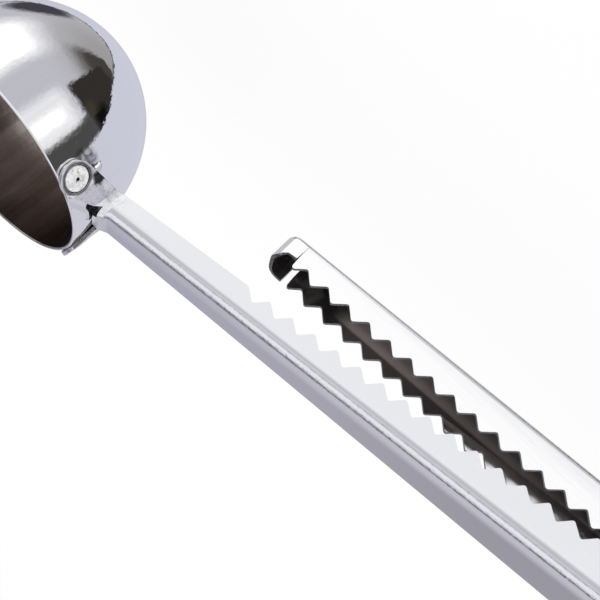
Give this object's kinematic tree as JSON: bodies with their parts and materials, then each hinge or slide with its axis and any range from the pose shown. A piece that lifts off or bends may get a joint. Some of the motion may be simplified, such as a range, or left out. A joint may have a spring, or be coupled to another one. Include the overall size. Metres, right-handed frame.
{
  "type": "coffee scoop",
  "caption": "Deep round scoop in polished sheet steel whose channel handle and sprung, toothed lower jaw form a bag clip.",
  "frame": {"origin": "middle of the bounding box's underside, at rest with the jaw as pictured", "axes": "+Z towards the bowl's mouth, +X along the handle from the bowl to the squeeze tail, +Y to the side that the picture shows"},
  "size_m": [0.192, 0.044, 0.0378],
  "materials": {
    "bowl_stainless": "mirror-polished stainless sheet",
    "handle_stainless": "polished stainless sheet with faint grain",
    "jaw_stainless": "polished stainless sheet",
    "pin_steel": "bright turned steel",
    "spring_wire": "drawn spring wire",
    "weld_metal": "pale mottled spot-weld face"
  },
  "bodies": {
    "scoop": {"bowl": "bowl_stainless", "handle_channel": "handle_stainless", "pivot_pin": "pin_steel", "torsion_spring": "spring_wire", "weld_spot_a": "weld_metal", "weld_spot_b": "weld_metal"},
    "clip": {"clip_jaw": "jaw_stainless"}
  },
  "joints": [
    {"name": "clip_hinge", "type": "hinge", "parent": "scoop", "child": "clip", "pos_m": [0.05601, 0, 0.01852], "axis": [0, -1, 0], "range_deg": [-5.5, 16], "stiffness_Nm_per_rad": 0.3, "springref_deg": -22.92, "deforming": ["torsion_spring"]}
  ]
}
